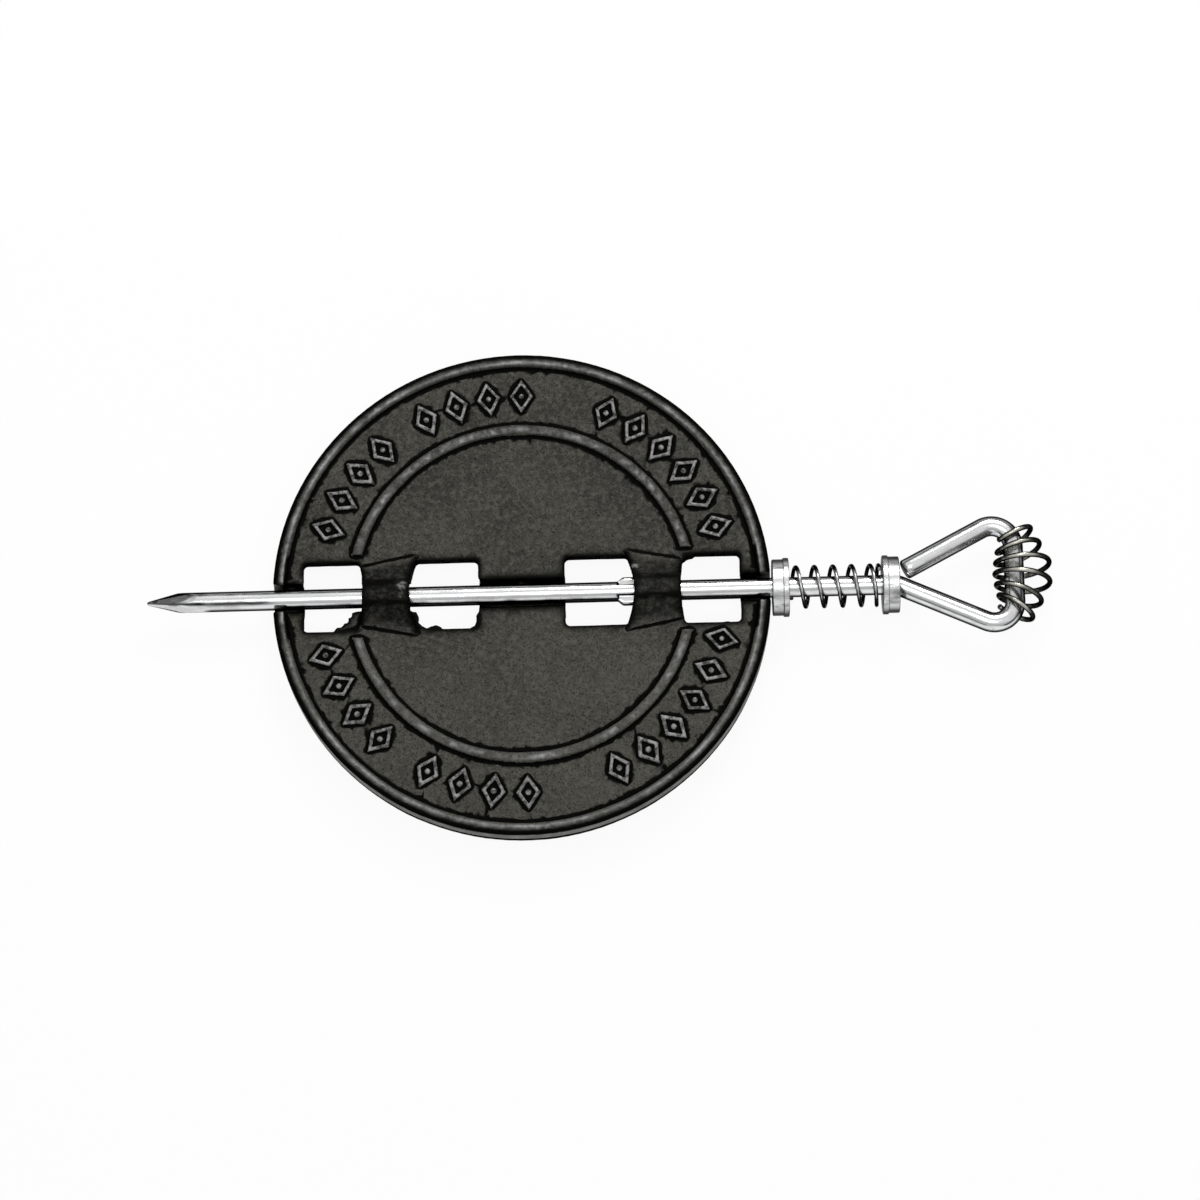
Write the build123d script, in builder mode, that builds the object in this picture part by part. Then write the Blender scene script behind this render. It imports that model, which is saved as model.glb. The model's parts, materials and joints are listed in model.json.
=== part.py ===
from build123d import *
import os
from math import cos, pi, radians, sin, sqrt, tan

# A stovepipe damper: a round cast iron plate with four windows, woven on a bent steel spindle
# that carries two washers, a spring and a handle with a wire grip.
# Frame: the origin is the plate's centre on the spindle's axis, +X runs along the spindle to the
# handle, and +Z stands out of the plate's front face. Sizes are in millimetres and degrees.

# Plate, a casting for a pipe of 152 mm bore
plate_diameter = 148.0
web_thickness = 4.0
rim_width = 3.6
rim_front_step = 1.3
rim_back_step = 0.15
rim_draft = 0.5
rim_edge_radius = 0.9
ring_inset = 22.0
ring_width = 3.1
ring_height = 0.9
ring_edge_radius = 0.4
ring_gap = 25.4

# Windows, two each side of the centre web, with a bridge between them
rim_land = 9.2
outer_window_width = 16.4
bridge_width = 17.2
inner_window_width = 18.2
window_half_height = 10.5
window_corner_radius = 1.2

# Bridges, straps that arch over the front of the spindle
bridge_thickness = 3.2
bridge_foot_inner = 12.4
bridge_foot_outer = 9.0
bridge_crest_half_width = 3.2
bridge_shoulder_radius = 4.5
bridge_waist_inner = 2.1
bridge_waist_outer = 1.1

# Troughs, where the spindle lies in front of the casting. The rim's back stands a little past
# their backs, so that the plate lies flat on it.
trough_half_width = 4.2
trough_floor = 2.4

# Spindle, a bent steel rod
rod_diameter = 6.0
casting_clearance = 0.25
washer_clearance = 0.1
tip_reach = 37.5
tip_width = 0.7
point_angle = 10.9
point_roll = 24.0

# Ears, squeezed out of the rod, that lock in a pocket of the bridge
ear_length = 6.9
ear_half_width = 4.1
ear_thickness = 2.4
ear_rise = 3.0
ear_corner_radius = 0.7
ear_root_half_width = 1.5
pinch_length = 6.5
pinch_slope = 1.1
ear_seat_gap = 0.3
ear_side_gap = 0.3
ear_pocket_depth = 1.3

# Handle, the rod's far end bent into a triangle
shoulder_bend_radius = 5.0
lower_leg_angle = 24.3
upper_leg_angle = 27.6
handle_top_y = 17.3
handle_bottom_y = -12.4
upper_bend_reach = 28.8
handle_bend_radius = 6.3
leg_end_gap = 0.3
leg_end_chamfer = 0.4

# Washers: one bears on the pipe, the other on the handle
washer_diameter = 17.6
washer_thickness = 5.0
washer_flange_thickness = 1.8
washer_flange_step = 0.4
washer_edge_radius = 0.35
washer_bore_chamfer = 1.4
plate_to_washer_gap = 0.3
shoulder_in_washer = 0.8

# Spring between the washers
spring_length = 27.1
spring_wire = 1.2
spring_outer_diameter = 13.1
spring_turns = 5.4
spring_end_turns = 0.7
spring_end_lead = 1.5
spring_blend_turns = 0.25
spring_seat_gap = 0.3
spring_start_angle = -100.0

# Grip, a barrel of wire round the handle's outer bar, its turns fanned out on the far side
grip_wire = 1.6
grip_turns = 5.8
grip_start_angle = 140.0
grip_overrun = 1.0
grip_fan = 5.6
grip_end_clearance = 0.8
grip_swell = 6.0
grip_back_swell = 1.2
grip_lean = 0.8

# Worked out from the sizes above
plate_radius = plate_diameter / 2
rim_inner_radius = plate_radius - rim_width
web_front = web_thickness / 2
web_back = -web_thickness / 2
rod_radius = rod_diameter / 2
channel_radius = rod_radius + casting_clearance
bridge_crest = channel_radius + bridge_thickness
trough_centre_z = trough_half_width - channel_radius
trough_back_radius = trough_half_width + trough_floor
rim_back = -channel_radius - trough_floor - rim_back_step
rim_front = web_front + rim_front_step
past_solid = 2.0
ring_outer_radius = plate_radius - ring_inset
window_outer_x = plate_radius - rim_land
bridge_outer_x = window_outer_x - outer_window_width
bridge_inner_x = bridge_outer_x - bridge_width
web_half_width = bridge_inner_x - inner_window_width
pocket_end_x = bridge_inner_x + bridge_waist_inner + ear_pocket_depth
ear_end_x = pocket_end_x - ear_seat_gap
ear_start_x = ear_end_x - ear_length
pinch_start_x = ear_end_x - pinch_length
tip_x = -plate_radius - tip_reach
point_length = (rod_radius - tip_width / 2) / tan(radians(point_angle)) + past_solid
pipe_washer_start_x = plate_radius + plate_to_washer_gap
pipe_washer_end_x = pipe_washer_start_x + washer_thickness
handle_washer_start_x = pipe_washer_end_x + spring_length + 2 * spring_seat_gap
handle_washer_end_x = handle_washer_start_x + washer_thickness
shoulder_x = handle_washer_end_x - shoulder_in_washer
upper_bend_x = shoulder_x + upper_bend_reach


def polar(radius, angle):
    """The point at this radius and angle in the plate's plane."""
    return Vector(radius * cos(radians(angle)), radius * sin(radians(angle)), 0)


def arc_pair(start, start_way, end, end_way):
    """Draws two arcs that leave start along start_way, meet smoothly and reach end along end_way."""
    chord = end - start
    turned = 2 * (1 - start_way.dot(end_way))
    reach = chord.dot(start_way + end_way)
    arm = (sqrt(reach * reach + turned * chord.dot(chord)) - reach) / turned
    first_corner = start + start_way * arm
    second_corner = end - end_way * arm
    middle = (first_corner + second_corner) / 2
    TangentArc(start, middle, tangent=start_way)
    TangentArc(middle, end, tangent=second_corner - first_corner)


def draw_winding(place, turns, spans_per_turn, straight):
    """Draws a wire's centre line through place(turn) as pairs of arcs, with a straight run at each end."""
    step = 1e-4
    spans = round(turns * spans_per_turn)
    points = [place(turns * span / spans) for span in range(spans + 1)]
    ways = []
    for span in range(spans + 1):
        turn = turns * span / spans
        ways.append((place(turn + step) - place(turn - step)).normalized())
    Line(points[0] - ways[0] * straight, points[0])
    for span in range(spans):
        arc_pair(points[span], ways[span], points[span + 1], ways[span + 1])
    Line(points[-1], points[-1] + ways[-1] * straight)


def least_gap(place, turns, wire):
    """The least gap between a wound wire and itself, measured on points of its centre line."""
    points_per_turn = 72
    count = round(turns * points_per_turn)
    points = [place(turns * i / count) for i in range(count + 1)]
    apart = round(0.6 * points_per_turn)
    distances = []
    for i in range(count + 1 - apart):
        distances.extend((points[i] - other).length for other in points[i + apart:])
    return min(distances) - wire


# Raised ring between the plate's middle and its outer band, open where the windows are
with BuildPart() as raised_ring:
    with BuildSketch(Plane.XZ) as ring_profile:
        with Locations((ring_outer_radius, 0)):
            Rectangle(ring_width, web_front + ring_height, align=(Align.MAX, Align.MIN))
        fillet(ring_profile.vertices().group_by(Axis.Y)[-1], ring_edge_radius)
    revolve(axis=Axis.Z)
    Box(plate_diameter, ring_gap, 4 * web_thickness, mode=Mode.SUBTRACT)

# Bridge: an arch lofted from a wide foot at the inner window to a narrow one at the outer window
with BuildPart() as bridge:
    for section_x, foot in (
        (bridge_inner_x, bridge_foot_inner),
        (bridge_outer_x, bridge_foot_outer),
    ):
        with BuildSketch(Plane.YZ.offset(section_x)) as arch:
            with BuildLine():
                Polyline(
                    (-foot, 0),
                    (-foot, web_front),
                    (-bridge_crest_half_width, bridge_crest),
                    (bridge_crest_half_width, bridge_crest),
                    (foot, web_front),
                    (foot, 0),
                    close=True,
                )
            make_face()
            fillet(arch.vertices().group_by(Axis.Y)[-1], bridge_shoulder_radius)
    loft()

# Trough backs: half-round ridges that carry the casting behind the spindle
with BuildPart() as trough_backs:
    for start_x, end_x in (
        (-web_half_width - past_solid, web_half_width + past_solid),
        (window_outer_x - past_solid, plate_radius),
        (-plate_radius, -window_outer_x + past_solid),
    ):
        with BuildSketch(Plane.YZ.offset(start_x)):
            with Locations((0, trough_centre_z)):
                Circle(trough_back_radius)
            Rectangle(
                2 * trough_back_radius,
                2 * trough_back_radius,
                align=(Align.CENTER, Align.MIN),
                mode=Mode.SUBTRACT,
            )
        extrude(amount=end_x - start_x)
    Cylinder(plate_radius, 4 * trough_back_radius, mode=Mode.INTERSECT)

with BuildPart() as damper_plate:
    with BuildSketch(Plane.XZ) as disc_profile:
        with BuildLine():
            Polyline(
                (0, web_back),
                (rim_inner_radius - rim_draft, web_back),
                (rim_inner_radius, rim_back),
                (plate_radius, rim_back),
                (plate_radius, rim_front),
                (rim_inner_radius, rim_front),
                (rim_inner_radius - rim_draft, web_front),
                (0, web_front),
                close=True,
            )
        make_face()
        bead_corners = disc_profile.vertices().filter_by_position(
            Axis.X, rim_inner_radius - rim_draft / 2, plate_radius
        )
        fillet(bead_corners, rim_edge_radius)
    revolve(axis=Axis.Z)
    add(raised_ring.part)
    add(trough_backs.part)
    add(bridge.part)
    add(mirror(bridge.part, about=Plane.YZ, mode=Mode.PRIVATE))

    # Windows, whose sides next to the bridge bow into it
    with BuildSketch() as windows:
        for straight_x, bowed_x, bow in (
            (web_half_width, bridge_inner_x, bridge_waist_inner),
            (window_outer_x, bridge_outer_x, -bridge_waist_outer),
        ):
            with BuildLine():
                Polyline(
                    (bowed_x, window_half_height),
                    (straight_x, window_half_height),
                    (straight_x, -window_half_height),
                    (bowed_x, -window_half_height),
                )
                ThreePointArc(
                    (bowed_x, -window_half_height),
                    (bowed_x + bow, 0),
                    (bowed_x, window_half_height),
                )
            make_face()
        fillet(windows.vertices(), window_corner_radius)
        mirror(about=Plane.YZ)
    extrude(amount=bridge_crest + past_solid, both=True, mode=Mode.SUBTRACT)

    # Front troughs, along the centre web and across both sides of the rim
    for start_x, end_x in (
        (-web_half_width - past_solid, web_half_width + past_solid),
        (window_outer_x - past_solid, plate_radius + past_solid),
        (-plate_radius - past_solid, -window_outer_x + past_solid),
    ):
        with BuildSketch(Plane.YZ.offset(start_x)):
            with Locations((0, trough_centre_z)):
                Circle(trough_half_width)
                Rectangle(
                    2 * trough_half_width,
                    2 * trough_half_width,
                    align=(Align.CENTER, Align.MIN),
                )
        extrude(amount=end_x - start_x, mode=Mode.SUBTRACT)

    # Back channels under the bridges, with pockets for the ears in their inner edges
    channel_depth = past_solid - web_back
    channel_start_x = bridge_inner_x - past_solid
    channel_length = bridge_outer_x - bridge_inner_x + 2 * past_solid
    pocket_top = ear_thickness / 2 + ear_side_gap
    with BuildSketch(Plane.YZ.offset(channel_start_x)):
        Circle(channel_radius)
        Rectangle(2 * channel_radius, channel_depth, align=(Align.CENTER, Align.MAX))
    channel = extrude(amount=channel_length, mode=Mode.SUBTRACT)
    with BuildSketch(Plane.YZ.offset(channel_start_x)):
        with Locations((0, pocket_top)):
            Rectangle(
                2 * (ear_half_width + ear_side_gap),
                pocket_top + channel_depth,
                align=(Align.CENTER, Align.MAX),
            )
    pocket = extrude(amount=pocket_end_x - channel_start_x, mode=Mode.SUBTRACT)
    mirror([channel, pocket], about=Plane.YZ, mode=Mode.SUBTRACT)

# Handle layout: the bends' centres in the plate's plane, and the bar that joins them
lower_leg_way = polar(1, -lower_leg_angle)
upper_leg_way = polar(1, upper_leg_angle)
lower_leg_normal = polar(1, 90 - lower_leg_angle)
upper_leg_normal = polar(1, 90 + upper_leg_angle)
shoulder = Vector(shoulder_x, 0, 0)
shoulder_reach = shoulder_bend_radius * tan(radians(lower_leg_angle / 2))
lower_bend_y = handle_bottom_y + handle_bend_radius
lower_bend_rise = handle_bend_radius - lower_bend_y * lower_leg_normal.Y
lower_bend = Vector(shoulder_x + lower_bend_rise / lower_leg_normal.X, lower_bend_y, 0)
upper_bend = Vector(upper_bend_x, handle_top_y - handle_bend_radius, 0)
bends_chord = upper_bend - lower_bend
bar_way = bends_chord.normalized()
bar_out = bar_way.rotate(Axis.Z, -90)
bar_start = lower_bend + bar_out * handle_bend_radius
bar_end = upper_bend + bar_out * handle_bend_radius
upper_leg_start = upper_bend + upper_leg_normal * handle_bend_radius
upper_leg_end_x = handle_washer_end_x + leg_end_gap + rod_radius * upper_leg_way.Y
upper_leg_length = (upper_leg_start.X - upper_leg_end_x) / upper_leg_way.X

with BuildPart() as spindle:
    # The point is ground to four facets
    with BuildSketch(Plane(origin=(tip_x, 0, 0), x_dir=(0, 1, 0), z_dir=(1, 0, 0))):
        Rectangle(tip_width, tip_width, rotation=45 + point_roll)
    extrude(amount=point_length, taper=-point_angle)
    with BuildSketch(Plane(origin=(tip_x, 0, 0), x_dir=(0, 1, 0), z_dir=(1, 0, 0))):
        Circle(rod_radius)
    extrude(amount=point_length, mode=Mode.INTERSECT)

    with BuildLine() as spindle_line:
        shank = Line((tip_x + point_length, 0), shoulder - Vector(shoulder_reach, 0, 0))
        shoulder_bend = TangentArc(
            shank @ 1, shoulder + lower_leg_way * shoulder_reach, tangent=shank % 1
        )
        lower_leg = Line(shoulder_bend @ 1, lower_bend - lower_leg_normal * handle_bend_radius)
        first_bend = TangentArc(lower_leg @ 1, bar_start, tangent=lower_leg % 1)
        bar = Line(first_bend @ 1, bar_end)
        second_bend = TangentArc(bar @ 1, upper_leg_start, tangent=bar % 1)
        Line(second_bend @ 1, upper_leg_start - upper_leg_way * upper_leg_length)
    with BuildSketch(Plane(origin=shank @ 0, z_dir=shank % 0)):
        Circle(rod_radius)
    sweep(path=spindle_line.wires()[0])
    leg_end = spindle.faces().sort_by_distance(
        upper_leg_start - upper_leg_way * upper_leg_length
    )[0]
    chamfer(leg_end.edges(), leg_end_chamfer)

    # Punch marks that thin the rod to the ears' thickness, and the ears that they squeeze out
    for side in (1, -1):
        mark_plane = Plane(
            origin=(0, side * ear_root_half_width, 0), x_dir=(1, 0, 0), z_dir=(0, side, 0)
        )
        with BuildSketch(mark_plane):
            with BuildLine():
                Polyline(
                    (pinch_start_x, rod_radius),
                    (pinch_start_x + pinch_slope, ear_thickness / 2),
                    (ear_end_x - pinch_slope, ear_thickness / 2),
                    (ear_end_x, rod_radius),
                    close=True,
                )
            make_face()
            mirror(about=Plane.XZ)
        extrude(amount=rod_radius, mode=Mode.SUBTRACT)
    with BuildSketch() as ear_outline:
        with BuildLine():
            Polyline(
                (ear_start_x, 0),
                (ear_start_x, rod_radius - ear_corner_radius),
                (ear_start_x + ear_rise, ear_half_width),
                (ear_end_x, ear_half_width),
                (ear_end_x, 0),
                close=True,
            )
        make_face()
        ear_corners = ear_outline.vertices().filter_by_position(
            Axis.Y, rod_radius, ear_half_width
        )
        fillet(ear_corners, ear_corner_radius)
        mirror(about=Plane.XZ)
    extrude(amount=ear_thickness / 2, both=True)

# Washers, alike and face to face, each with its flange towards the spring
with BuildPart() as pipe_washer:
    body_radius = washer_diameter / 2 - washer_flange_step
    flange_start_x = pipe_washer_end_x - washer_flange_thickness
    bore_radius = rod_radius + washer_clearance
    with BuildSketch() as half_washer:
        with BuildLine():
            Polyline(
                (pipe_washer_start_x, bore_radius + washer_bore_chamfer),
                (pipe_washer_start_x, body_radius),
                (flange_start_x, body_radius),
                (flange_start_x, washer_diameter / 2),
                (pipe_washer_end_x, washer_diameter / 2),
                (pipe_washer_end_x, bore_radius),
                (pipe_washer_start_x + washer_bore_chamfer, bore_radius),
                close=True,
            )
        make_face()
        rows = half_washer.vertices().group_by(Axis.Y)
        outer_corners = [*rows[-1], rows[-2].sort_by(Axis.X)[0]]
        fillet(outer_corners, min(washer_edge_radius, 0.9 * washer_flange_step))
    revolve(axis=Axis.X)

washers_middle_x = (pipe_washer_start_x + handle_washer_end_x) / 2
with BuildPart() as handle_washer:
    add(mirror(pipe_washer.part, about=Plane.YZ.offset(washers_middle_x), mode=Mode.PRIVATE))

# Spring, right-handed, open at the pipe washer and closed at the handle washer
spring_radius = (spring_outer_diameter - spring_wire) / 2
spring_start_x = pipe_washer_end_x + spring_seat_gap + spring_wire / 2
spring_run = spring_length - spring_wire
open_turns = spring_turns - spring_end_turns - spring_blend_turns
spring_lead = spring_end_lead + (spring_run - spring_end_lead * spring_turns) / open_turns


def blended(turn):
    """How far a lead that grows from none to one in the blend turns has come after this turn."""
    if turn <= 0:
        return 0
    if turn < spring_blend_turns:
        return turn * turn / (2 * spring_blend_turns)
    return turn - spring_blend_turns / 2


def spring_place(turn):
    """The spring wire's centre after this many turns from the pipe washer."""
    opened = blended(turn) - blended(turn - open_turns)
    angle = radians(spring_start_angle) + 2 * pi * turn
    return Vector(
        spring_start_x + spring_end_lead * turn + (spring_lead - spring_end_lead) * opened,
        spring_radius * cos(angle),
        spring_radius * sin(angle),
    )


with BuildPart() as spring:
    with BuildLine() as spring_line:
        draw_winding(spring_place, spring_turns, 4, spring_wire)
    spring_wire_line = spring_line.wires()[0]
    with BuildSketch(Plane(origin=spring_wire_line @ 0, z_dir=spring_wire_line % 0)):
        Circle(spring_wire / 2)
    sweep(path=spring_wire_line)
print("spring, least gap between turns", round(least_gap(spring_place, spring_turns, spring_wire), 3))


# Grip: its turns lie evenly on the inner side, and spread from the middle on the outer side
bar_middle = (bar_start + bar_end) / 2
grip_half_length = bends_chord.length / 2 + grip_overrun
grip_end_reach = rod_radius + grip_end_clearance + grip_wire / 2


def grip_place(turn):
    """The grip wire's centre after this many turns from its end at the upper bend."""
    off_middle = 0.5 - turn / grip_turns
    swell = cos(pi * off_middle) ** 2
    outer_reach = grip_end_reach + grip_swell * swell + grip_lean * (0.5 + off_middle)
    inner_reach = grip_end_reach + grip_back_swell * swell
    radius = (outer_reach + inner_reach) / 2
    angle = radians(grip_start_angle) - 2 * pi * turn
    outward = outer_reach - radius + radius * cos(angle)
    fanned = grip_fan * sin(pi * off_middle) * (1 + cos(angle)) / 2
    along = 2 * grip_half_length * off_middle + fanned
    return bar_middle + bar_way * along + bar_out * outward + Vector(0, 0, radius * sin(angle))


with BuildPart() as grip_coil:
    with BuildLine() as grip_line:
        draw_winding(grip_place, grip_turns, 4, grip_wire)
    grip_wire_line = grip_line.wires()[0]
    with BuildSketch(Plane(origin=grip_wire_line @ 0, z_dir=grip_wire_line % 0)):
        Circle(grip_wire / 2)
    sweep(path=grip_wire_line)
print("grip, least gap between turns", round(least_gap(grip_place, grip_turns, grip_wire), 3))

os.makedirs("parts", exist_ok=True)
damper_plate.part.label = "damper_plate"
export_step(damper_plate.part, "parts/damper_plate.step")
spindle.part.label = "spindle"
export_step(spindle.part, "parts/spindle.step")
pipe_washer.part.label = "pipe_washer"
export_step(pipe_washer.part, "parts/pipe_washer.step")
handle_washer.part.label = "handle_washer"
export_step(handle_washer.part, "parts/handle_washer.step")
spring.part.label = "spring"
export_step(spring.part, "parts/spring.step")
grip_coil.part.label = "grip_coil"
export_step(grip_coil.part, "parts/grip_coil.step")
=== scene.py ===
import json
from math import copysign, cos, pi, radians, sin, tan

import bmesh
import bpy
import numpy as np
from bpy.props import FloatProperty, FloatVectorProperty, IntProperty, PointerProperty
from mathutils import Matrix, Vector, noise


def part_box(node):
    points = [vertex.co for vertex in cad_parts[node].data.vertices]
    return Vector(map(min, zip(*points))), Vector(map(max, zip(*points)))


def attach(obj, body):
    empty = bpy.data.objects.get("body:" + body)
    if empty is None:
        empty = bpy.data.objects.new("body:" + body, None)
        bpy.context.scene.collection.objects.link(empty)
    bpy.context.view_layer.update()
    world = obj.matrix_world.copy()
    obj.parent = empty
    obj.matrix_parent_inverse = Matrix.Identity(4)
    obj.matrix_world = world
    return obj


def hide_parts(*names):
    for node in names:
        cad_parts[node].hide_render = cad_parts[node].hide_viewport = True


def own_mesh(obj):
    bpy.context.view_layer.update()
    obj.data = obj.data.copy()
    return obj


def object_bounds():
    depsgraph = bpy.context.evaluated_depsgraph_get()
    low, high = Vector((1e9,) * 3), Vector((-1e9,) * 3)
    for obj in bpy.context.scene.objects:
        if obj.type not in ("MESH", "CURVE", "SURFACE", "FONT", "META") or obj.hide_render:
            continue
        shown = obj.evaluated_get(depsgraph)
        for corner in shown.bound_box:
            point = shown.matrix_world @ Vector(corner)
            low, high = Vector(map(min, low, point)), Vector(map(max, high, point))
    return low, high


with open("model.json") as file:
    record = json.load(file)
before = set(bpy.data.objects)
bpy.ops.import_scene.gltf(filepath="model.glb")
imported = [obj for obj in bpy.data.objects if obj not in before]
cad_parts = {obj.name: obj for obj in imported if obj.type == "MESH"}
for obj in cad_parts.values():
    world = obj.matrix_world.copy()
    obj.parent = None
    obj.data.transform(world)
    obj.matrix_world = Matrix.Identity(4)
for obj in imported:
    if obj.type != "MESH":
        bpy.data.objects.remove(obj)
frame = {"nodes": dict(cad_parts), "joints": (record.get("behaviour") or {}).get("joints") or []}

bl_info = {
    "name": "Stovepipe damper",
    "version": (1, 0, 0),
    "blender": (4, 5, 0),
    "location": "3D View > Sidebar > Damper",
    "description": "Dresses a stovepipe damper: cast plate, steel spindle, washers, spring and grip",
    "category": "Add Mesh",
}

CAD_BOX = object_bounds()
MM = 0.001
WIRE_SIDES = 20
ROD_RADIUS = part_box("spindle")[1].z
PIPE_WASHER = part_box("pipe_washer")
HANDLE_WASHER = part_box("handle_washer")
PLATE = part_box("damper_plate")


# Properties

def length(name, description, millimetres):
    """A size, given in millimetres and kept in metres."""
    return FloatProperty(
        name=name, description=description, default=millimetres * MM, precision=5,
        subtype="DISTANCE", unit="LENGTH",
    )


def angle(name, description, degrees):
    """An angle, given in degrees and kept in radians."""
    return FloatProperty(
        name=name, description=description, default=radians(degrees), subtype="ANGLE", unit="ROTATION"
    )


def colour(name, description, shade):
    """A surface colour, in linear light."""
    return FloatVectorProperty(
        name=name, description=description, default=shade, size=3, min=0, max=1, subtype="COLOR"
    )


def number(name, description, value, subtype="NONE"):
    """A plain number."""
    return FloatProperty(name=name, description=description, default=value, subtype=subtype)


def count(name, description, value):
    """A whole number."""
    return IntProperty(name=name, description=description, default=value, min=1, subtype="UNSIGNED")


class PlateLook(bpy.types.PropertyGroup):
    """Sizes and colours of the cast plate."""

    cell: length("Cell", "Size of the cells that the casting is remeshed in", 0.32)
    triangles: count("Triangles", "How many triangles the casting keeps", 180_000)
    web_half: length("Half web", "Half the thickness of the plate's web", 2.0)
    band_inner: length("Band, inner radius", "Where the ornament of the outer band starts", 55.5)
    band_outer: length("Band, outer radius", "Where the ornament of the outer band ends", 66.5)
    ornament_width: length("Ornament width", "Width of one raised lozenge", 7.4)
    ornament_height: length("Ornament height", "How far the lozenges stand above the web", 0.7)
    ornament_stroke: length("Ornament stroke", "Width of a lozenge's raised outline", 1.3)
    unevenness: length("Unevenness", "How much the cast faces wander from true", 0.12)
    mould_split: length("Mould split", "Height of the step that the mould's halves leave round the rim", -1.9)
    mould_step: length("Mould step", "How far the rim's back half lies in", 0.14)
    chip_depth: length("Chip depth", "How deep the window edges are chipped", 0.9)
    grain: length("Grain", "Depth of the sand's grain", 0.25)
    iron: colour("Iron", "Cast faces", (0.0515, 0.0505, 0.0433))
    # Worn iron colours the worn edges, and also paints a highlight along the crests of the rim and the inner
    # ring.
    worn_iron_and_sheen: colour("Worn iron", "Rubbed edges of the casting", (0.36, 0.36, 0.36))
    # Deep iron darkens pits and fine grain, and is also the painted shade in the hollows, along the rim's and
    # windows' lines, on window walls and on the bridges' tops.
    deep_iron_and_shade: colour("Deep iron", "Corners that keep foundry black", (0.0035, 0.0035, 0.003))
    # The bridges' darker tops are painted shade.
    painted_shade_level: length("Soot level", "Height above the web where the bridges turn darker", 1.6)
    channel_half: length("Window strip", "Half the width of the strip that holds the windows", 12.7)
    ring_crest: length("Ring crest", "Radius of the inner ring's crest", 50.4)


class SpindleLook(bpy.types.PropertyGroup):
    """Sizes and colours of the spindle."""

    sides: count("Sides", "Points round the rod", 72)
    tip_width: length("Tip width", "Width of the blunt end of the point", 0.7)
    point_angle: angle("Point angle", "Slope of the four ground facets", 10.9)
    point_roll: angle("Point roll", "How far the facets are turned about the spindle", 24)
    ear_start: length("Ears start", "Where the squeezed ears begin", 27.4)
    ear_end: length("Ears end", "Where the squeezed ears end", 34.3)
    ear_half_width: length("Ear half width", "How far an ear reaches from the spindle's axis", 4.1)
    ear_thickness: length("Ear thickness", "Thickness of the squeezed ears", 2.4)
    ear_rise: length("Ear rise", "Length over which the ears grow out of the rod", 3.0)
    ridge_half_width: length("Ridge half width", "Half the ridge left between the punch marks", 1.5)
    punch_slope: length("Punch slope", "Length of the sloping ends of the punch marks", 1.1)
    shoulder_in_washer: length("Shoulder in washer", "How far the first bend starts inside the washer", 0.8)
    shoulder_bend: length("Shoulder bend", "Radius of the bend at the handle's washer", 5.0)
    lower_leg: angle("Lower leg", "Slope of the handle's lower leg", 24.3)
    upper_leg: angle("Upper leg", "Slope of the handle's upper leg", 27.6)
    upper_bend_reach: length("Upper bend reach", "From the shoulder to the upper bend's centre", 28.8)
    handle_bend: length("Handle bend", "Radius of the two outer bends", 6.3)
    leg_end_gap: length("Leg end gap", "From the washer to the cut end of the upper leg", 0.3)
    end_chamfer: length("End chamfer", "Bevel of the cut end", 0.45)
    zinc: colour("Zinc", "Bright plating", (0.81, 0.815, 0.825))
    dull_zinc: colour("Dull zinc", "Bloomed plating", (0.5, 0.5, 0.48))
    # Painted shade on the rod's flanks, and in the plate, along its left run, on its point and in the grip.
    painted_shade: colour("Tarnish", "Dark flanks and soot", (0.01, 0.01, 0.012))


class SpringLook(bpy.types.PropertyGroup):
    """Sizes and colours of the spring between the washers."""

    rings: count("Rings", "Rings of points to a turn", 48)
    wire: length("Wire", "Thickness of the spring's wire", 1.2)
    outer_diameter: length("Outer diameter", "Over the spring's turns", 13.1)
    turns: number("Turns", "Turns of the spring", 5.4)
    end_turns: number("End turns", "Closed turns at the handle's washer", 0.7)
    blend_turns: number("Blend turns", "Turns over which the lead changes", 0.25)
    end_lead: length("End lead", "How far a closed turn climbs", 1.5)
    seat_gap: length("Seat gap", "From a washer to the wire", 0.3)
    start_angle: angle("Start angle", "Where the wire starts at the pipe's washer", -100)
    zinc: colour("Zinc", "Plating of the spring wire", (0.56, 0.56, 0.55))
    dull_zinc: colour("Dull zinc", "Bloomed plating", (0.12, 0.12, 0.113))
    # Painted shade on the wire's flanks and over all but its front.
    painted_shade: colour("Tarnish", "Dark flanks of the wire", (0.004, 0.004, 0.004))


class GripLook(bpy.types.PropertyGroup):
    """Sizes and colours of the wire grip."""

    rings: count("Rings", "Rings of points to a turn", 56)
    wire: length("Wire", "Thickness of the grip's wire", 1.6)
    turns: number("Turns", "Turns of the grip", 5.8)
    start_angle: angle("Start angle", "Where the wire starts at the upper bend", 140)
    overrun: length("Overrun", "How far the winding runs past the bar's ends", 1.0)
    fan: length("Fan", "How far the outer sides of the end turns spread", 5.6)
    end_clearance: length("End clearance", "From the rod to the wire at the ends", 0.8)
    swell: length("Swell", "How much further out the middle turns reach", 6.0)
    back_swell: length("Back swell", "How much further in the middle turns reach", 1.2)
    lean: length("Lean", "How much further out the upper turns reach", 0.8)
    wobble: length("Wobble", "How far the wire strays inwards", 0.15)
    zinc: colour("Zinc", "Plating of the grip wire", (0.56, 0.548, 0.49))
    dull_zinc: colour("Dull zinc", "Plating dulled by handling", (0.1, 0.098, 0.084))
    # Painted shade on the wire's flanks.
    painted_shade: colour("Tarnish", "Dark flanks of the wire", (0.004, 0.004, 0.004))


class WasherLook(bpy.types.PropertyGroup):
    """Colours of the two washers."""

    zinc: colour("Zinc", "Plating of the washers", (0.72, 0.73, 0.72))
    dull_zinc: colour("Dull zinc", "Bloomed plating", (0.2, 0.21, 0.22))
    # Painted shade on the washers' flanks.
    painted_shade: colour("Tarnish", "Dark flanks of the washers", (0.05, 0.05, 0.052))


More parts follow.
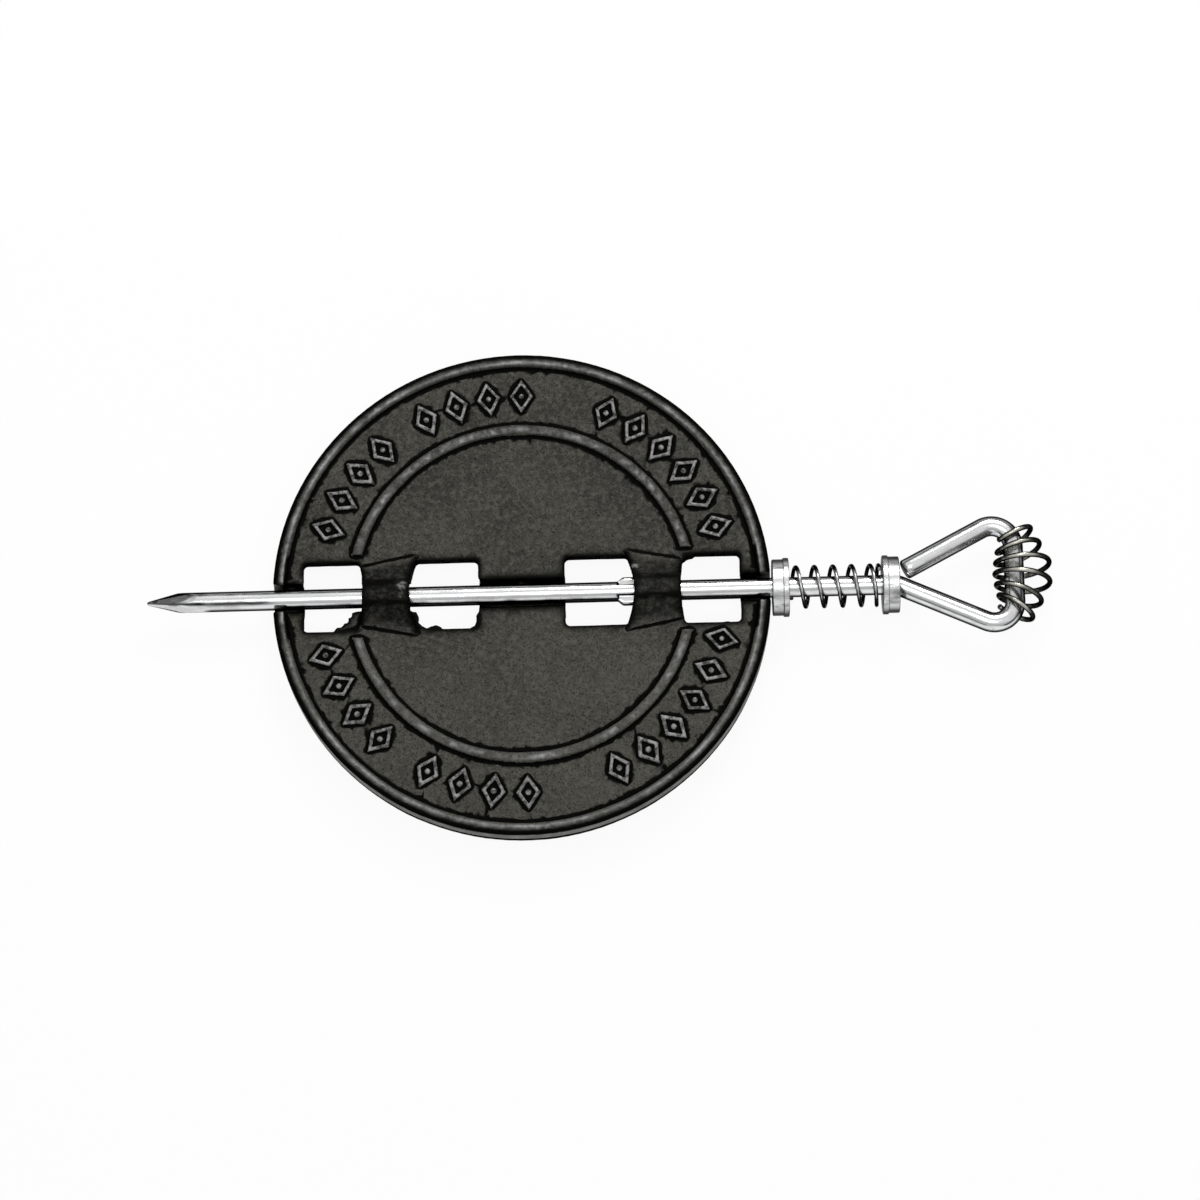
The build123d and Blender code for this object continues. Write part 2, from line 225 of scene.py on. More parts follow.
class StageLook(bpy.types.PropertyGroup):
    """The floor, the lamps and the camera."""

    azimuth: angle("Azimuth", "How far the camera stands round to the right", 2.0)
    elevation: angle("Elevation", "How high the camera looks down from", 74.5)
    roll: angle("Roll", "How far the picture is turned", 3.4)
    distance: length("Distance", "From the camera to the point it looks at", 1385)
    aim: FloatVectorProperty(
        name="Aim", description="The point that the camera looks at", default=(0.02313, -0.00218, -0.0008),
        subtype="XYZ", unit="LENGTH"
    )
    lens: number("Lens", "Focal length in millimetres, on a 36 mm sensor", 139.8)
    floor: colour("Floor", "Pale floor", (0.9, 0.9, 0.9))
    floor_glow: number("Floor glow", "How much of its own white the camera sees", 0.93, "FACTOR")


# Shader nodes

class Nodes:
    """A small helper that adds nodes to a tree and links them."""

    def __init__(self, tree):
        self.tree = tree

    def add(self, kind, inputs=None, **settings):
        """Adds a node with these settings and inputs."""
        node = self.tree.nodes.new(kind)
        for name, value in settings.items():
            setattr(node, name, value)
        return self.fill(node, inputs or {})

    def fill(self, node, inputs):
        """Links a node's inputs to outputs, or sets their values."""
        for name, value in inputs.items():
            socket = node.inputs[name]
            if isinstance(value, bpy.types.NodeSocket):
                self.tree.links.new(value, socket)
            else:
                socket.default_value = (*value, 1) if socket.type == "RGBA" else value
        return node

    def maths(self, operation, first, second, clamp=False):
        inputs = {0: first, 1: second}
        return self.add("ShaderNodeMath", inputs, operation=operation, use_clamp=clamp).outputs[0]

    def plus(self, first, second, clamp=False):
        return self.maths("ADD", first, second, clamp)

    def times(self, first, second, clamp=False):
        return self.maths("MULTIPLY", first, second, clamp)

    def most(self, first, second):
        return self.maths("MAXIMUM", first, second)

    def mix(self, amount, first, second):
        """The first colour where the amount is nought, and the second where it is one."""
        return self.add("ShaderNodeMix", {0: amount, 6: first, 7: second}, data_type="RGBA").outputs[2]

    def fit(self, value, low, high, new_low=0.0, new_high=1.0):
        """Goes smoothly from new_low, where the value is low, to new_high, where it is high."""
        inputs = {"Value": value, "From Min": low, "From Max": high, "To Min": new_low, "To Max": new_high}
        return self.add("ShaderNodeMapRange", inputs, interpolation_type="SMOOTHSTEP").outputs[0]

    def noise(self, place, scale, detail=2.0, roughness=0.5):
        inputs = {"Vector": place, "Scale": scale, "Detail": detail, "Roughness": roughness}
        return self.add("ShaderNodeTexNoise", inputs).outputs[0]

    def stretched(self, place, scale):
        return self.add("ShaderNodeMapping", {"Vector": place, "Scale": scale}).outputs[0]

    def axes(self, place):
        return self.add("ShaderNodeSeparateXYZ", {"Vector": place}).outputs

    def object_place(self):
        return self.add("ShaderNodeTexCoord").outputs["Object"]

    def attribute(self, name, output="Fac"):
        return self.add("ShaderNodeAttribute", attribute_name=name).outputs[output]

    def bump(self, height, distance):
        return self.add("ShaderNodeBump", {"Height": height, "Distance": distance}).outputs[0]


def new_group(name, takes, gives):
    """A shader group with these inputs and outputs, as (tree, nodes, inputs, output node)."""
    tree = bpy.data.node_groups.new(name, "ShaderNodeTree")
    for way, sockets in (("INPUT", takes), ("OUTPUT", gives)):
        for socket_name, kind in sockets.items():
            tree.interface.new_socket(socket_name, in_out=way, socket_type="NodeSocket" + kind)
    nodes = Nodes(tree)
    return tree, nodes, nodes.add("NodeGroupInput").outputs, nodes.add("NodeGroupOutput")


def speckle_group():
    """Scattered small ragged spots, such as pits and dirt."""
    name = "speckle"
    if name in bpy.data.node_groups:
        return bpy.data.node_groups[name]
    tree, nodes, inside, out = new_group(
        name,
        {"Place": "Vector", "Scale": "Float", "Spot Size": "Float", "Share": "Float"},
        {"Spots": "Float"},
    )
    place, scale, size = inside["Place"], inside["Scale"], inside["Spot Size"]
    raggedness, soft_edge = 0.3, 0.15
    wander = nodes.noise(place, scale)
    cells = nodes.add("ShaderNodeTexVoronoi", {"Vector": place, "Scale": scale}).outputs
    ragged = nodes.plus(cells["Distance"], nodes.times(wander, raggedness))
    spot = nodes.fit(ragged, nodes.plus(size, soft_edge), size)
    lot = nodes.add("ShaderNodeSeparateColor", {"Color": cells["Color"]}).outputs[0]
    nodes.fill(out, {"Spots": nodes.times(spot, nodes.maths("LESS_THAN", lot, inside["Share"]))})
    return tree


def speckle(nodes, place, scale, size, part):
    """Adds small spots: their cells to a metre, their size in a cell and the part of the cells with one."""
    inputs = {"Place": place, "Scale": scale, "Spot Size": size, "Share": part}
    return nodes.add("ShaderNodeGroup", inputs, node_tree=speckle_group()).outputs[0]


def zinc_group():
    """Zinc plating on drawn steel: fine lines along the wire, bloomed patches and specks of dirt."""
    name = "zinc_skin"
    if name in bpy.data.node_groups:
        return bpy.data.node_groups[name]
    tree, nodes, inside, out = new_group(
        name,
        {"Place": "Vector", "Bright": "Color", "Dull": "Color", "Polish": "Float", "Bloom": "Float"},
        {"Colour": "Color", "Roughness": "Float", "Height": "Float"},
    )
    line_scale, patch_scale = (60, 2400, 2400), (120, 260, 260)
    speck_shade, speck_share = (0.09, 0.085, 0.075), 0.55
    place, dull = inside["Place"], inside["Dull"]
    lines = nodes.noise(nodes.stretched(place, line_scale), 1.0, 3.0, 0.6)
    patches = nodes.noise(nodes.stretched(place, patch_scale), 1.0, 4.0, 0.6)
    bloom = nodes.times(nodes.fit(patches, 0.46, 0.66), inside["Bloom"], clamp=True)
    spots = speckle(nodes, place, 620.0, 0.16, 0.35)
    dirt = nodes.times(spots, speck_share)
    skin = nodes.mix(bloom, inside["Bright"], dull)
    lined = nodes.mix(nodes.fit(lines, 0.62, 0.8, 0.0, 0.35), skin, dull)
    rough = nodes.plus(inside["Polish"], nodes.times(bloom, 0.22))
    rough = nodes.plus(rough, nodes.fit(lines, 0.3, 0.7, -0.04, 0.06))
    height = nodes.plus(nodes.times(lines, 0.25), patches)
    nodes.fill(out, {
        "Colour": nodes.mix(dirt, lined, speck_shade),
        "Roughness": nodes.plus(rough, nodes.times(dirt, 0.4), clamp=True),
        "Height": nodes.maths("SUBTRACT", height, nodes.times(spots, 0.2)),
    })
    return tree


def new_material(name):
    """A material with a bare Principled shader, as (material, nodes, shader)."""
    material = bpy.data.materials.new(name)
    material.use_nodes = True
    material.node_tree.nodes.clear()
    nodes = Nodes(material.node_tree)
    shader = nodes.add("ShaderNodeBsdfPrincipled")
    nodes.add("ShaderNodeOutputMaterial", {"Surface": shader.outputs[0]})
    return material, nodes, shader


def zinc_material(name, look, polish, bloom, relief, flanks, drawn=True):
    """Zinc-plated steel with painted shade on its flanks: where that shade starts, where it is full and its
    share.

    Drawn steel has lines along the wire. Its painted shading above nought darkens it, and below nought clears
    the flanks' painted shade as a painted highlight."""
    material, nodes, shader = new_material(name)
    place = nodes.attribute("wire_place", "Vector") if drawn else nodes.object_place()
    inputs = {"Place": place, "Bright": look.zinc, "Dull": look.dull_zinc, "Polish": polish, "Bloom": bloom}
    skin = nodes.add("ShaderNodeGroup", inputs, node_tree=zinc_group()).outputs
    # Painted shade on the flanks, where the surface turns away from the view.
    grazing = nodes.add("ShaderNodeLayerWeight", {"Blend": 0.5}).outputs["Facing"]
    start, full, most_shade = flanks
    flank_shade = nodes.fit(grazing, start, full, 0.0, most_shade)
    # Painted shading from the mesh: above nought it darkens, below nought it clears the painted shade on the
    # flanks.
    if drawn:
        painted_shading = nodes.attribute("painted_shading")
        flank_shade = nodes.times(flank_shade, nodes.plus(painted_shading, 1.0, clamp=True))
    shade = nodes.mix(flank_shade, skin["Colour"], look.painted_shade)
    if drawn:
        shade = nodes.mix(painted_shading, shade, look.painted_shade)
    nodes.fill(shader, {
        "Base Color": shade,
        "Roughness": skin["Roughness"],
        "Metallic": 1.0,
        "Specular Tint": (0.35, 0.35, 0.35),
        "Normal": nodes.bump(skin["Height"], relief),
    })
    return material


def iron_material(look):
    """Cast iron out of green sand: grainy faces and worn edges, with painted shade in the hollows, along the
    rim's and windows' lines, on window walls and on the bridges' tops, and a painted highlight on the crests.
    """
    material, nodes, shader = new_material("cast_iron")
    place = nodes.object_place()
    coarse_scale, fine_scale, cloud_scale, streak_scale = 620, 2300, 42, 150
    coarse = nodes.noise(place, coarse_scale, 4.0, 0.62)
    fine = nodes.noise(place, fine_scale, 2.0, 0.6)
    clouds = nodes.noise(place, cloud_scale, 3.0, 0.55)
    streaks = nodes.fit(nodes.noise(place, streak_scale), 0.38, 0.62, 0.45, 1.3)
    pits = speckle(nodes, place, 520.0, 0.17, 0.3)
    masks = ("edge", "painted_hollow_shade", "crest", "painted_bridge_shade", "painted_wall_shade", "painted_shading")
    edge, painted_hollow_shade, crest, painted_bridge_shade, painted_wall_shade, painted_shading = (nodes.attribute(name) for name in masks)
    worn = nodes.times(nodes.fit(edge, 0.12, 0.6), nodes.fit(coarse, 0.36, 0.62), clamp=True)
    shine = nodes.times(streaks, nodes.fit(coarse, 0.3, 0.6, 0.5, 1.0))
    # Worn edges and spots, and a painted highlight along the crests.
    wear_and_sheen = nodes.most(worn, nodes.times(crest, shine, clamp=True))
    dark, pale, palest = (tuple(by * v for v in look.iron) for by in (0.78, 1.2, 2.0))
    deep = look.deep_iron_and_shade
    # Paler towards the plate's −Y side.
    lower_half = nodes.fit(nodes.axes(place)["Y"], -4 * MM, -30 * MM, 0.0, 0.3)
    face = nodes.mix(nodes.fit(clouds, 0.35, 0.65), dark, pale)
    for amount, shade in (
        (nodes.fit(coarse, 0.4, 0.68, 0.0, 0.75), palest),
        (lower_half, palest),
        (nodes.fit(fine, 0.52, 0.32, 0.0, 0.7), deep),
        # Painted shade: the bridges' tops and the window walls turn near black.
        (nodes.times(painted_bridge_shade, nodes.fit(coarse, 0.35, 0.65, 0.95, 0.6)), deep),
        (nodes.times(painted_wall_shade, 0.9), deep),
        (nodes.times(pits, 0.7), deep),
        (nodes.times(wear_and_sheen, 0.75), look.worn_iron_and_sheen),
    ):
        face = nodes.mix(amount, face, shade)
    # Painted shade: black lines in the hollows, along the rim's edges and round the windows.
    line = nodes.most(nodes.fit(painted_hollow_shade, 0.24, 0.6), painted_shading)
    height = nodes.plus(coarse, nodes.times(fine, 0.45))
    height = nodes.maths("SUBTRACT", height, nodes.times(pits, 0.6))
    nodes.fill(shader, {
        "Base Color": nodes.mix(line, face, deep),
        "Roughness": nodes.plus(nodes.fit(coarse, 0.3, 0.7, 0.52, 0.66), nodes.times(wear_and_sheen, -0.14)),
        "Metallic": nodes.most(nodes.times(wear_and_sheen, 0.5), line),
        "Specular IOR Level": 0.22,
        "Specular Tint": (0.12, 0.12, 0.12),
        "Normal": nodes.bump(height, look.grain),
    })
    return material


# Mesh tools

def new_object(name, data):
    """A new object in the scene."""
    made = bpy.data.objects.new(name, data)
    bpy.context.scene.collection.objects.link(made)
    return made


def link_piece(name, mesh, material, body):
    """Puts a mesh in the scene as a named piece that rides on a body."""
    piece = new_object(name, mesh)
    mesh.materials.clear()
    mesh.materials.append(material)
    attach(piece, body)
    return piece


def applied(mesh, *modifiers):
    """The mesh after these modifiers, each given as (kind, settings)."""
    holder = new_object("holder", mesh)
    for kind, settings in modifiers:
        modifier = holder.modifiers.new(kind.lower(), kind)
        for name, value in settings.items():
            setattr(modifier, name, value)
    bpy.context.view_layer.update()
    graph = bpy.context.evaluated_depsgraph_get()
    made = bpy.data.meshes.new_from_object(holder.evaluated_get(graph), depsgraph=graph)
    bpy.data.objects.remove(holder)
    return made


def vertex_rows(vectors, name):
    """A mesh's vectors under this name, one to a row."""
    rows = np.empty(len(vectors) * 3, np.float32)
    vectors.foreach_get(name, rows)
    return rows.reshape(-1, 3)


def places_and_normals(mesh):
    return vertex_rows(mesh.vertices, "co"), vertex_rows(mesh.vertex_normals, "vector")


def noise_at(places, scale):
    """Smooth noise at each place, from minus one to one. The scale is in swings to a metre."""
    return np.array([noise.noise(Vector(p) * scale) for p in places.tolist()])


def store(mesh, name, values):
    """Keeps one number for each vertex."""
    attribute = mesh.attributes.new(name, "FLOAT", "POINT")
    attribute.data.foreach_set("value", values.astype(np.float32))


def neighbour_mean(mesh, values):
    """The mean of each vertex's neighbours' values."""
    edges = np.empty(len(mesh.edges) * 2, np.int32)
    mesh.edges.foreach_get("vertices", edges)
    first, second = edges.reshape(-1, 2).T
    members = np.bincount(edges, minlength=len(values)).astype(float)
    columns = []
    for column in values.reshape(len(values), -1).T:
        total = np.bincount(first, column[second], len(values))
        total += np.bincount(second, column[first], len(values))
        columns.append(total / np.maximum(members, 1))
    return np.array(columns).T.reshape(values.shape)


def swept(name, centres, ways, sides_out, radii, turned):
    """A closed tube: centres, their ways, the first side's way out, radii (ring by angle) and ring angles."""
    ups = np.cross(ways, sides_out)
    out, up = radii * np.cos(turned), radii * np.sin(turned)
    rings = centres[:, None] + out[:, :, None] * sides_out[:, None] + up[:, :, None] * ups[:, None]
    ring_count, around = radii.shape
    here = np.arange(around)
    after = (here + 1) % around
    faces = []
    for ring in range(ring_count - 1):
        low, high = ring * around, (ring + 1) * around
        faces.extend(np.stack((low + here, low + after, high + after, high + here), 1).tolist())
    faces.append(list(range(around))[::-1])
    faces.append([(ring_count - 1) * around + i for i in range(around)])
    mesh = bpy.data.meshes.new(name)
    mesh.from_pydata(rings.reshape(-1, 3).tolist(), [], faces)
    mesh.shade_smooth()
    run = np.concatenate(([0], np.cumsum(np.linalg.norm(np.diff(centres, axis=0), axis=1))))
    unrolled = np.stack((np.repeat(run, around), out.ravel(), up.ravel()), 1)
    attribute = mesh.attributes.new("wire_place", "FLOAT_VECTOR", "POINT")
    attribute.data.foreach_set("vector", unrolled.astype(np.float32).ravel())
    for cap in mesh.polygons[-2:]:
        cap.use_smooth = False
    mesh.validate()
    return mesh


def soft_least(first, second, blend):
    """The lesser of two values, rounded where they cross."""
    over = np.maximum(blend - np.abs(first - second), 0) / blend
    return np.minimum(first, second) - over * over * blend / 4


def soft_most(first, second, blend):
    """The greater of two values, rounded where they cross."""
    return -soft_least(-first, -second, blend)


def ramp(value, low, high):
    """Nought at low, one at high and smooth between. Low may be the greater of the two."""
    part = np.clip((value - low) / (high - low), 0, 1)
    return part * part * (3 - 2 * part)


def hump(value, width):
    """One where the value is nought, falling smoothly to both sides."""
    return np.exp(-((value / width) ** 2))


def free_end(row, wire, onwards):
    """Two more rings past a free end, after a straight run and a bevel. Onwards is 1, or -1 for backwards."""
    centre, way, out, _ = row
    bevel = 0.12 * wire
    found = []
    for run, size in ((wire - bevel, 1.0), (bevel, 1 - 2 * bevel / wire)):
        centre = centre + way * (onwards * run)
        found.append((centre, way, out, size))
    return found


def wound(name, place, side_out, look, wobble=0.0, first=0.0, last=None):
    """A wire wound through place(turn) between two of its turns. Its own ends get a run and a bevel."""
    last = look.turns if last is None else last
    steps = round((last - first) * look.rings)
    tiny = 1e-4
    rows = []
    for i in range(steps + 1):
        turn = first + (last - first) * i / steps
        way = (place(turn + tiny) - place(turn - tiny)).normalized()
        rows.append((place(turn), way, side_out(turn), 1.0))
    if first == 0:
        rows = free_end(rows[0], look.wire, -1)[::-1] + rows
    if last == look.turns:
        rows = rows + free_end(rows[-1], look.wire, 1)
    centres, ways, outs = (np.array([list(row[i]) for row in rows]) for i in range(3))
    outs -= (outs * ways).sum(1)[:, None] * ways
    outs /= np.linalg.norm(outs, axis=1)[:, None]
    turned = 2 * pi * np.arange(WIRE_SIDES) / WIRE_SIDES
    radii = look.wire / 2 * np.array([row[3] for row in rows])[:, None] * np.ones(WIRE_SIDES)[None]
    if wobble:
        centres = centres + outs * (wobble * (noise_at(centres, 160) - 1) / 2)[:, None]
    return swept(name, centres, ways, outs, radii, turned)


# Cast plate

def join_rings(shape, first, second):
    """Adds the faces between two rings of points."""
    for i in range(len(first)):
        j = (i + 1) % len(first)
        shape.faces.new((first[i], first[j], second[j], second[i]))


def lozenge(shape, centre_angle, look):
    """Adds one raised lozenge with a stud in its middle, upright on the band at this angle."""
    middle = (look.band_inner + look.band_outer) / 2
    tall = (look.band_outer - look.band_inner) / 2
    wide = look.ornament_width / 2
    lean = np.arctan2(wide, tall)
    slant = look.ornament_stroke / sin(lean), look.ornament_stroke / cos(lean)
    root, draft, stud_foot, stud_top = 0.6 * MM, 0.14, 1.05 * MM, 0.8 * MM
    low, high = look.web_half - root, look.web_half + look.ornament_height
    turn = Matrix.Rotation(centre_angle, 4, "Z") @ Matrix.Translation((middle, 0, 0))

    def corners(inset, level):
        a, b = tall - inset * slant[0], wide - inset * slant[1]
        return [shape.verts.new(turn @ Vector((x, y, level))) for x, y in ((a, 0), (0, b), (-a, 0), (0, -b))]

    outer_low, outer_high = corners(0.0, low), corners(draft, high)
    inner_low, inner_high = corners(1.0, low), corners(1 - draft, high)
    rings = (outer_low, outer_high, inner_high, inner_low, outer_low)
    for ring, after in zip(rings, rings[1:]):
        join_rings(shape, ring, after)
    stud = turn @ Matrix.Translation((0, 0, (low + high) / 2))
    bmesh.ops.create_cone(
        shape, cap_ends=True, segments=12, radius1=stud_foot, radius2=stud_top, depth=high - low, matrix=stud
    )


def band_angles():
    """Where the lozenges stand: groups of four, four and six over each half of the band."""
    found = []
    for starts, pitch in (((160, 117, 64.5), -9.3), ((197, 242, 297), 9.6)):
        for start, members in zip(starts, (4, 4, 6)):
            found.extend(radians(start + pitch * i) for i in range(members))
    return found


# Outlines, in millimetres, of the iron that ran into the windows' corners
CORNER_RUNS = (
    ((-58.6, -11.4), (-57.8, -10.5), (-56.2, -10.4), (-55.2, -9.2), (-53.8, -9.3), (-52.9, -8.0),
     (-51.7, -7.8), (-51.9, -6.4), (-50.5, -5.8), (-50.6, -4.7), (-49.2, -4.2), (-47.0, -4.0),
     (-47.0, -11.4)),
    ((-33.4, -11.6), (-33.4, -4.4), (-31.4, -4.8), (-30.6, -6.6), (-30.9, -8.2), (-29.4, -9.4),
     (-28.4, -10.2), (-26.9, -9.5), (-25.2, -9.3), (-23.6, -9.9), (-22.6, -11.6)),
    ((-16.0, -11.4), (-15.4, -10.2), (-14.2, -9.9), (-13.6, -8.2), (-13.9, -6.6), (-12.9, -5.0),
     (-12.2, -4.8), (-12.2, -11.4)),
    ((62.0, -11.2), (61.2, -10.1), (59.4, -10.2), (58.8, -11.2)),
    ((48.6, 11.2), (48.4, 8.8), (49.6, 9.6), (51.2, 9.9), (52.0, 11.2)),
)
# Heights of a run's three outlines, in millimetres, and how far each is drawn in towards its middle
RUN_LEVELS = ((-1.7, 0.0), (0.9, 0.0), (1.7, 0.105))
# Places and radii, in millimetres, of the spots where the plate is worn bright
WORN_SPOTS = ((-35.2, 2.2, 1.1), (-35.6, -1.0, 0.7), (33.6, 6.4, 0.8), (49.2, 3.0, 0.7), (-64.8, 5.4, 0.8))


def casting_lumps(shape):
    """Adds the spare iron in the windows' corners, as flat runs with ragged sides."""
    for outline in CORNER_RUNS:
        middle = sum((Vector(p) for p in outline), Vector((0, 0))) / len(outline)
        rows = []
        for level, drawn_in in RUN_LEVELS:
            row = []
            for p in outline:
                place = Vector(p).lerp(middle, drawn_in)
                wander = noise.noise(Vector((place.x, place.y, level)) * 1.3) * 0.35
                row.append(shape.verts.new(((place.x + wander) * MM, (place.y + wander) * MM, level * MM)))
            rows.append(row)
        for low, high in zip(rows, rows[1:]):
            join_rings(shape, low, high)
        shape.faces.new(rows[0][::-1])
        shape.faces.new(rows[-1])


def beside_windows(places, look):
    """Which places lie in the strip of the windows and bridges, inside the rim."""
    return (np.abs(places[:, 1]) < look.channel_half) & (np.hypot(*places.T[:2]) < PLATE[1].x - 3 * MM)


def casting_masks(mesh, look):
    """Marks each vertex's worn edge, its crest as wear and painted highlight, and painted shade in the
    hollows, along the rim's and windows' lines, on window walls and on the bridges, as numbers from nought to
    one.
    """
    places, normals = places_and_normals(mesh)
    x, y, z = places.T
    reach, rim = np.hypot(x, y), PLATE[1].x
    lift = ((neighbour_mean(mesh, places) - places) * normals).sum(1) / look.cell
    for _ in range(3):
        lift = 0.4 * lift + 0.6 * neighbour_mean(mesh, lift)
    ridge = -lift * 14
    worn = np.zeros(len(places))
    for at_x, at_y, size in WORN_SPOTS:
        worn += 0.9 * np.exp(-((x - at_x * MM) ** 2 + (y - at_y * MM) ** 2) / (size * MM) ** 2)

    # Painted shade: black lines along the rim's front edge and behind the mould's split
    rim_front = z[reach > rim - 2 * MM].max()
    round_edge = ramp(reach, rim - 1.9 * MM, rim - 1.45 * MM)
    front_line = ramp(z, rim_front - 0.8 * MM, rim_front - 0.58 * MM)
    back_line = ramp(z, look.mould_split + 0.1 * MM, look.mould_split - 0.2 * MM)
    rim_lines = round_edge * np.maximum(front_line, back_line)
    # A painted highlight on the rim's rounded side, between its black lines.
    side = round_edge * (1 - rim_lines) * 0.6

    # Painted shade: black walls and edges of the windows, spread a little
    in_strip = beside_windows(places, look)
    painted_wall_shade = ramp(np.abs(normals[:, 2]), 0.75, 0.35)
    window_lines = in_strip * np.maximum(ramp(ridge, 0.06, 0.3), painted_wall_shade)
    for _ in range(3):
        window_lines = np.maximum(window_lines, np.minimum(1, 1.7 * neighbour_mean(mesh, window_lines)))
    window_lines = window_lines * in_strip

    # Crests lightened, partly by wear and partly as a painted highlight, and painted shade on the tops of the
    # bridges
    raised = ramp(z, look.web_half + 0.45 * MM, look.web_half + 0.7 * MM)
    ring_crest = hump(reach - look.ring_crest, 0.6 * MM) * (np.abs(y) > look.channel_half)
    rim_crest = hump(reach - rim + 2.5 * MM, 0.55 * MM)
    banded = (reach > look.band_inner) & (reach < look.band_outer)
    bridge_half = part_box("pipe_washer")[1].y * 1.6
    top = look.web_half + look.painted_shade_level
    painted_bridge_shade = (np.abs(y) < bridge_half) * ramp(z, top - 1.2 * MM, top)
    store(mesh, "edge", np.clip(ridge * (1 - in_strip) * (0.25 + 0.75 * banded) + 1.4 * worn, 0, 1))
    # Crests: partly wear, partly a painted highlight.
    store(mesh, "crest", np.clip((ring_crest + rim_crest) * raised + side, 0, 1))
    # Painted shade in the hollows, at the feet of the raised parts.
    store(mesh, "painted_hollow_shade", np.clip(lift * 30, 0, 1))
    # Painted shade along the rim's and windows' lines, cleared on the worn spots.
    store(mesh, "painted_shading", np.clip(rim_lines + 0.95 * window_lines, 0, 1) * (1 - np.clip(worn, 0, 1)))
    store(mesh, "painted_wall_shade", painted_wall_shade * (1 - round_edge))
    store(mesh, "painted_bridge_shade", painted_bridge_shade * np.where(x > 0, 0.88, 1.0))


def uneven(mesh, look):
    """Lets the cast faces wander, chips the windows' walls and sets the rim in behind the mould's split."""
    places, normals = places_and_normals(mesh)
    wander = noise_at(places, 75) + 0.5 * noise_at(places, 260)
    inwards = np.minimum(wander - 0.6, 0) * look.unevenness
    reach, rim = np.hypot(places[:, 0], places[:, 1]), PLATE[1].x
    flatness = np.abs(normals[:, 2])
    side = ramp(flatness, 0.5, 0.1) * ramp(reach, 0.985 * rim, 0.995 * rim)
    behind_split = ramp(places[:, 2], look.mould_split + 0.2 * MM, look.mould_split - 0.2 * MM)
    inwards = inwards * (1 - side) - look.mould_step * side * behind_split
    chipped = np.clip(noise_at(places * (1, 1, 0.3), 380) + 0.1, 0, 0.6)
    inwards = inwards - look.chip_depth * (beside_windows(places, look) * ramp(flatness, 0.6, 0.2) * chipped)
    places += normals * inwards[:, None]
    mesh.vertices.foreach_set("co", places.ravel())
    mesh.update()


def cast_plate(look):
    """The cast plate: its CAD form with ornament and flaws, remeshed and rounded as iron leaves the sand."""
    shape = bmesh.new()
    shape.from_mesh(frame["nodes"]["damper_plate"].data)
    bmesh.ops.remove_doubles(shape, verts=shape.verts, dist=1e-6)
    for centre_angle in band_angles():
        lozenge(shape, centre_angle, look)
    casting_lumps(shape)
    bmesh.ops.recalc_face_normals(shape, faces=shape.faces)
    rough = bpy.data.meshes.new("plate_rough")
    shape.to_mesh(rough)
    shape.free()
    dense = applied(
        rough,
        ("REMESH", {"mode": "VOXEL", "voxel_size": look.cell}),
        ("SMOOTH", {"factor": 0.5, "iterations": 3}),
    )
    uneven(dense, look)
    casting_masks(dense, look)
    mesh = applied(dense, ("DECIMATE", {"ratio": min(1.0, look.triangles / (2 * len(dense.polygons)))}))
    mesh.name = "plate_casting"
    mesh.shade_smooth()
    return mesh


# Spindle

def polar(radius, turned):
    """A point in the plate's plane at this radius and angle."""
    return Vector((radius * cos(turned), radius * sin(turned), 0))


def handle_layout(look):
    """The handle's shoulder, the centres of its two bends, its bar's way and the way out from the bar."""
    low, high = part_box("spindle")
    shoulder = Vector((HANDLE_WASHER[1].x - look.shoulder_in_washer, 0, 0))
    lower_normal = polar(1, pi / 2 - look.lower_leg)
    lower_y = low.y + ROD_RADIUS + look.handle_bend
    rise = look.handle_bend - lower_y * lower_normal.y
    lower_bend = Vector((shoulder.x + rise / lower_normal.x, lower_y, 0))
    upper_bend = Vector((shoulder.x + look.upper_bend_reach, high.y - ROD_RADIUS - look.handle_bend, 0))
    bar_way = (upper_bend - lower_bend).normalized()
    return shoulder, lower_bend, upper_bend, bar_way, Vector((bar_way.y, -bar_way.x, 0))


def arc_points(centre, radius, start, end, steps):
    """Points and ways along an arc, from one angle to another."""
    side = copysign(1, end - start)
    found = []
    for i in range(steps + 1):
        turned = start + (end - start) * i / steps
        found.append((centre + polar(radius, turned), polar(side, turned + pi / 2)))
    return found


def handle_line(look):
    """Centre line of the handle from the shoulder's bend to the cut end, as points and ways."""
    shoulder, lower_bend, upper_bend, _, bar_out = handle_layout(look)
    small, large = look.shoulder_bend, look.handle_bend
    facing = np.arctan2(bar_out.y, bar_out.x)
    centre = shoulder + Vector((-small * tan(look.lower_leg / 2), -small, 0))
    line = arc_points(centre, small, pi / 2, pi / 2 - look.lower_leg, 10)
    line += arc_points(lower_bend, large, -pi / 2 - look.lower_leg, facing, 24)
    line += arc_points(upper_bend, large, facing, pi / 2 + look.upper_leg, 24)
    start, back = line[-1]
    end_x = HANDLE_WASHER[1].x + look.leg_end_gap + ROD_RADIUS * sin(look.upper_leg)
    run = (start.x - end_x) / cos(look.upper_leg)
    for part in (0.25, 0.5, 0.75, 0.9):
        line.append((start + back * run * part, back))
    for before_end in (look.end_chamfer, 0.0):
        line.append((start + back * (run - before_end), back))
    return line


def shank_stations(look):
    """Places of the rings along the straight shank, close together at the point and at the ears."""
    tip, start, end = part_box("spindle")[0].x, look.ear_start, look.ear_end
    bend_start = HANDLE_WASHER[1].x - look.shoulder_in_washer - look.shoulder_bend * tan(look.lower_leg / 2)
    stations = np.concatenate((
        (tip, tip + 0.12 * MM),
        np.linspace(tip + 0.4 * MM, tip + 18 * MM, 60),
        np.linspace(tip + 19 * MM, start - 1.5 * MM, 110),
        np.linspace(start - 1 * MM, end - 0.4 * MM, 52),
        [end - before * MM for before in (0.25, 0.12, 0.04, 0.0, -0.05, -0.3)],
        np.linspace(end + 1 * MM, bend_start - 0.5 * MM, 18),
    ))
    return stations, tip


